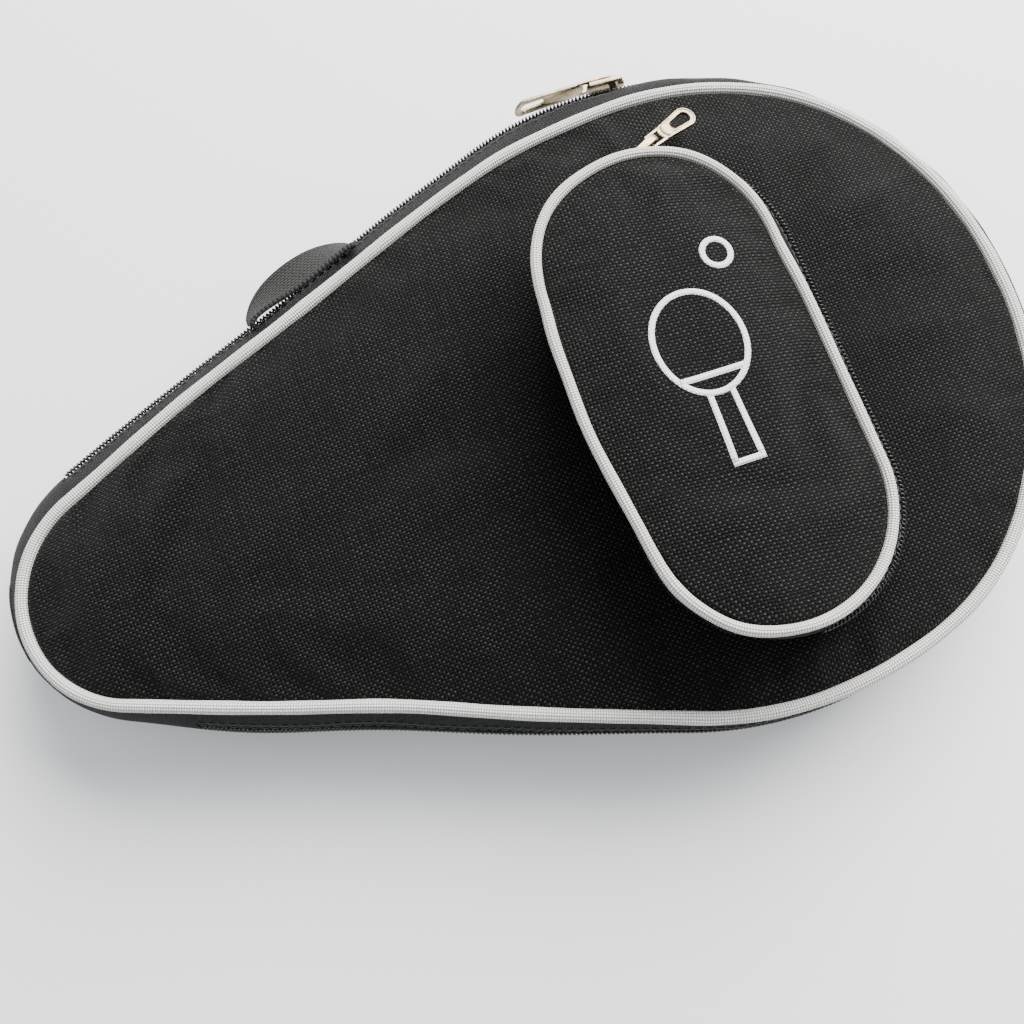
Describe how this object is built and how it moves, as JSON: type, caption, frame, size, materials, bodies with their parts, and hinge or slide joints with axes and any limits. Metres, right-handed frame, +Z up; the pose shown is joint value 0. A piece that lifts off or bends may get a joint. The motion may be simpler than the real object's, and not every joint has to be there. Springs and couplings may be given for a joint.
{
  "type": "table-tennis paddle case",
  "caption": "Pear-shaped zipped fabric case for a table-tennis paddle, with padded panels, white piping, a zipped ball pocket on the front and a webbing carry loop.",
  "frame": {"origin": "centre of the whole case's plan box, on the table under its flat back panel", "axes": "+X along the case towards the wide blade end, +Y towards the side with the main slider and carry loop, +Z up through the front panel and ball pocket"},
  "size_m": [0.318, 0.2126, 0.0731],
  "materials": {
    "panel_cloth": "coarse plain weave polyester, matt black",
    "gusset_cloth": "coarse plain weave polyester, matt black",
    "lining_cloth": "fine plain weave lining, black",
    "foam": "closed-cell foam sheet, dark grey",
    "piping": "woven tape over a cord, off-white",
    "zipper_tape": "close-woven zip tape, black",
    "zipper_coil": "nylon coil, black",
    "binding": "ribbed binding tape, black",
    "webbing": "ribbed webbing, black",
    "slider_metal": "pale gold plate on a die-cast slider"
  },
  "bodies": {
    "back_shell": {"back_panel": "panel_cloth", "back_foam": "foam", "back_lining": "lining_cloth", "back_piping": "piping", "back_gusset": "gusset_cloth", "hinge_gusset_back": "gusset_cloth", "back_zipper_tape": "zipper_tape", "back_zipper_coil": "zipper_coil", "back_seam_binding": "binding"},
    "front_shell": {"front_panel": "panel_cloth", "front_foam": "foam", "front_lining": "lining_cloth", "front_piping": "piping", "front_gusset": "gusset_cloth", "hinge_gusset_front": "gusset_cloth", "front_zipper_tape": "zipper_tape", "front_zipper_coil": "zipper_coil", "front_seam_binding": "binding", "pocket_gusset_lower": "gusset_cloth", "pocket_hinge_gusset_lower": "gusset_cloth", "pocket_zipper_tape_lower": "zipper_tape", "pocket_zipper_coil_lower": "zipper_coil"},
    "pocket_flap": {"pocket_face": "panel_cloth", "pocket_lining": "lining_cloth", "pocket_piping": "piping", "pocket_gusset_upper": "gusset_cloth", "pocket_hinge_gusset_upper": "gusset_cloth", "pocket_zipper_tape_upper": "zipper_tape", "pocket_zipper_coil_upper": "zipper_coil"},
    "main_slider_body": {"main_slider": "slider_metal"},
    "main_pull_tab": {"main_pull": "slider_metal"},
    "pocket_slider_body": {"pocket_slider": "slider_metal"},
    "pocket_pull_tab": {"pocket_pull": "slider_metal"},
    "carry_loop": {"webbing_loop": "webbing"}
  },
  "joints": [
    {"name": "lid_hinge", "type": "hinge", "parent": "back_shell", "child": "front_shell", "pos_m": [-0.16006, -0.00039, 0.0215], "axis": [0, -1, 0], "range_deg": [0, 165]},
    {"name": "main_slider_travel", "type": "hinge", "parent": "back_shell", "child": "main_slider_body", "pos_m": [0.0544, -0.00179, 0.0215], "axis": [0, 0, 1], "range_deg": [-180, 18]},
    {"name": "main_pull_swing", "type": "hinge", "parent": "main_slider_body", "child": "main_pull_tab", "pos_m": [0.06699, 0.10434, 0.0215], "axis": [0, 0, -1], "range_deg": [0, 160]},
    {"name": "carry_loop_swing", "type": "hinge", "parent": "front_shell", "child": "carry_loop", "pos_m": [-0.06366, 0.06129, 0.03], "axis": [0.9338, 0.3579, 0], "range_deg": [-14, 9]},
    {"name": "pocket_flap_hinge", "type": "hinge", "parent": "front_shell", "child": "pocket_flap", "pos_m": [0.01288, -0.01435, 0.05585], "axis": [0.021, -0.9998, 0], "range_deg": [0, 130]},
    {"name": "pocket_slider_travel", "type": "hinge", "parent": "front_shell", "child": "pocket_slider_body", "pos_m": [0.0558, 0.02121, 0.05273], "axis": [0.0847, 0, 0.9964], "range_deg": [-66, 26]},
    {"name": "pocket_pull_lift", "type": "hinge", "parent": "pocket_slider_body", "child": "pocket_pull_tab", "pos_m": [0.066, 0.06224, 0.05245], "axis": [0.4067, -0.9135, 0], "range_deg": [0, 95]}
  ]
}
